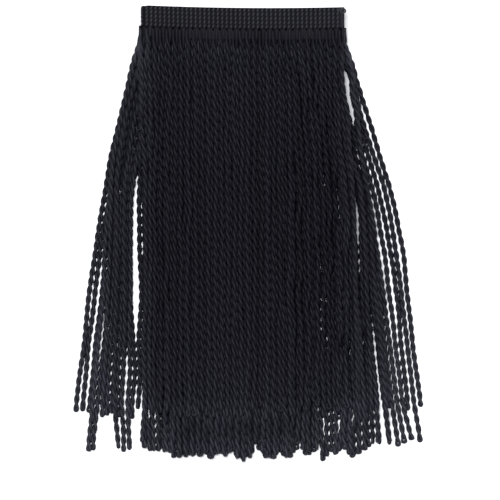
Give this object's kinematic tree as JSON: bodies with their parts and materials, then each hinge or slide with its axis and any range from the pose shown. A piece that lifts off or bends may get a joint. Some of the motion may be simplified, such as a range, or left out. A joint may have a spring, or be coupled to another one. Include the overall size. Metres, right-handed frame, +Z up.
{
  "type": "fringe trim",
  "caption": "Long black bullion fringe: a ribbed woven heading tape folded back and forth into a flat stack, with twisted strands spread out below it.",
  "frame": {"origin": "bottom centre of the whole bundle's box, on the surface that it lies on", "axes": "+Y from the strands' tips toward the heading, +Z up from the surface through the folds, +X along the heading"},
  "size_m": [0.1938, 0.2498, 0.0215],
  "materials": {
    "heading": "matt woven tape with fine upright ribs",
    "strands": "soft sheen on tightly twisted two-ply yarn"
  },
  "bodies": {
    "root": {"heading": "heading", "fringe": "strands"}
  },
  "joints": []
}
